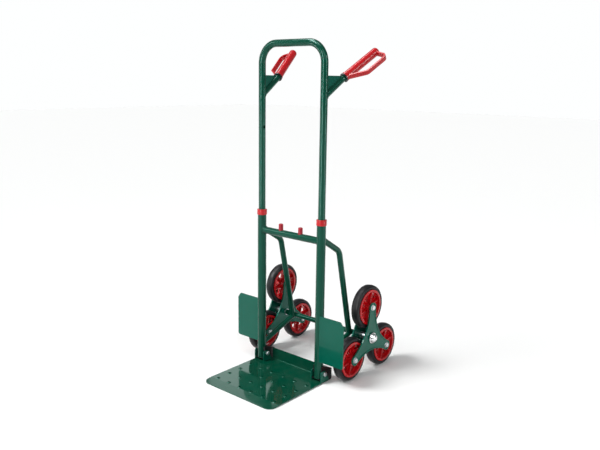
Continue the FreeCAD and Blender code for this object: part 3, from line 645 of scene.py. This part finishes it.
def knobShell(centre, radius, low, high, shape):
    rows = [(0.0, low), (radius - shape["skirt"], low), (radius, low + shape["skirt"])]
    firstFluted = len(rows)
    height = high - low - shape["skirt"] - shape["edge"]
    for step in range(1, shape["sideRows"] + 1):
        rows.append((radius, low + shape["skirt"] + height * step / shape["sideRows"]))
    lastFluted = len(rows) - 1
    for step in range(1, shape["edgeRows"] + 1):
        turn = math.pi / 2 * step / shape["edgeRows"]
        rows.append((radius - shape["edge"] * (1 - math.cos(turn)),
                     high - shape["edge"] * (1 - math.sin(turn))))
    floor = high - shape["dish"]
    rows += [(radius * shape["dishOuter"], high), (radius * shape["dishInner"], floor), (0.0, floor)]
    points = []
    for row, (reach, level) in enumerate(rows):
        fluted = firstFluted <= row <= lastFluted
        for step in range(shape["steps"]):
            turn = 2 * math.pi * step / shape["steps"]
            wave = 0.5 + 0.5 * math.cos(turn * shape["flutes"])
            cut = shape["fluteDepth"] * wave if fluted else 0.0
            spot = max(reach - cut, poleRadius)
            points.append(Vector((centre.x + spot * math.cos(turn),
                                  centre.y + spot * math.sin(turn), level)))
    return points, ringFaces(len(rows), shape["steps"], closed=False)


def addKnobs():
    for side in sides:
        node = "release_knob_" + side
        low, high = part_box(node)
        shell = knobShell((low + high) / 2, (high.x - low.x) / 2, low.z, high.z, knobShape)
        finishPiece("pullKnob_" + side, shell, "release_" + side, "knobPlastic",
                    (node,))


addKnobs()
print("knobs moulded")

weldShape = {"radius": 0.0021, "facets": 8, "ripple": 0.16, "rippleSteps": 5, "endStep": 0.6,
             "taper": 0.35, "steps": 90}
tubeLines = {  # metres on the +X side, from the upright's own axis: start, next point, radius
    "brace": ((0.0, 0.0, 0.52575), (0.0, 0.103, 0.46275), 0.01075),
    "stub": ((0.0, 0.0, 1.0020), (0.010, 0.091, 1.064), 0.0110),
}
handleRadius = 0.0125
gussetLine = {"low": 1.028, "high": 1.068, "lean": (0.010, 0.091), "half": 0.0015, "bite": 0.99,
              "tilt": 0.4, "steps": 36}
guardTacks = {"heights": (0.104, 0.164, 0.224), "length": 0.024, "steps": 22}


def tubeLoop(line, sign, tubeAxis, mainRadius):
    start, after, radius = line
    begin = tubeAxis + Vector((start[0] * sign, start[1], start[2]))
    ahead = (tubeAxis + Vector((after[0] * sign, after[1], after[2])) - begin).normalized()
    return seamLoop((begin, ahead, radius), (tubeAxis, zAxis, mainRadius), weldShape["steps"])


def frameBeads(side, sign, upright, tubeAxis):
    uprightRadius = span("upright_" + side).x / 2
    bar = (Vector((upright.x, upright.y, middle("crossbar").z)), xAxis * -sign,
           span("crossbar").y / 2)
    loops = [seamLoop(bar, (tubeAxis, zAxis, uprightRadius), weldShape["steps"]),
             tubeLoop(tubeLines["brace"], sign, tubeAxis, uprightRadius)]
    shells = [weldBead(loop, weldShape) for loop in loops]
    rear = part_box("guard_" + side)[1].y
    edge = math.sqrt(uprightRadius ** 2 - (rear - upright.y) ** 2)
    for height in guardTacks["heights"]:
        low = Vector((upright.x + sign * edge, rear, height))
        line = beadLine(low, low + zAxis * guardTacks["length"], Vector((sign, 1, 0)).normalized(),
                        guardTacks["steps"])
        shells.append(weldBead(line, weldShape, closed=False))
    return joined(shells)


def handleBeads(sign, tubeAxis):
    shells = [weldBead(tubeLoop(tubeLines["stub"], sign, tubeAxis, handleRadius), weldShape)]
    lean = Vector((gussetLine["lean"][0] * sign, gussetLine["lean"][1], 0)).normalized()
    across = lean.cross(zAxis)
    for face in (-1, 1):
        surface = tubeAxis + lean * (handleRadius * gussetLine["bite"])
        foot = surface + across * (face * gussetLine["half"])
        outward = (across * face + lean * gussetLine["tilt"]).normalized()
        line = beadLine(foot + zAxis * gussetLine["low"], foot + zAxis * gussetLine["high"],
                        outward, gussetLine["steps"])
        shells.append(weldBead(line, weldShape, closed=False))
    return joined(shells)


def addWelds():
    for side, sign in sides.items():
        upright = middle("upright_" + side)
        tubeAxis = Vector((upright.x, upright.y, 0))
        finishPiece("frameWelds_" + side, frameBeads(side, sign, upright, tubeAxis), "frame",
                    "tubePaint")
        finishPiece("handleWelds_" + side, handleBeads(sign, tubeAxis), "handle", "tubePaint")


addWelds()
print("welds laid")

washerShape = {"inner": 0.0050, "outer": 0.0105, "thickness": 0.0012, "bevel": 0.0003,
               "borderDepth": 0.0020}  # how far the plate's face lies under its raised border


def addWashers():
    for side, sign in sides.items():
        low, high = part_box("star_outer_plate_" + side)
        face = high.x if sign > 0 else low.x
        shells = []
        for place in places:
            spot = middle("rim_" + side + "_" + place)
            spot.x = face + sign * (washerShape["thickness"] / 2 - washerShape["borderDepth"])
            shells.append(boredRing(spot, xAxis, washerShape["inner"], washerShape["outer"],
                                    washerShape["thickness"], washerShape["bevel"]))
        finishPiece("boltWashers_" + side, joined(shells), "star_" + side, "zincPlate")


addWashers()
print("washers placed")

shoeRibShape = {"width": 0.0050, "proud": 0.0012, "root": 0.0004, "low": 0.004, "high": 0.040,
                "inset": 0.0035, "bevel": 0.0005}


def addShoeRibs():
    for side, sign in sides.items():
        low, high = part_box("shoe_" + side)
        shells = []
        for face in (-1, 1):
            wall = high.x if face > 0 else low.x
            near = wall - face * shoeRibShape["root"]
            far = wall + face * shoeRibShape["proud"]
            back = high.y - shoeRibShape["inset"]
            front = back - shoeRibShape["width"]
            bevel = shoeRibShape["bevel"]
            section = [(near, front), (far - face * bevel, front), (far, front + bevel),
                       (far, back - bevel), (far - face * bevel, back), (near, back)]
            points = [Vector((x, y, z)) for z in (shoeRibShape["low"], shoeRibShape["high"])
                      for x, y in section]
            shells.append((points, ringFaces(2, len(section), closed=False)))
        piece = finishPiece("shoeRibs_" + side, joined(shells), "frame", "blackPlastic")
        piece.data.polygons.foreach_set("use_smooth", [False] * len(piece.data.polygons))


addShoeRibs()
print("shoe ribs moulded")
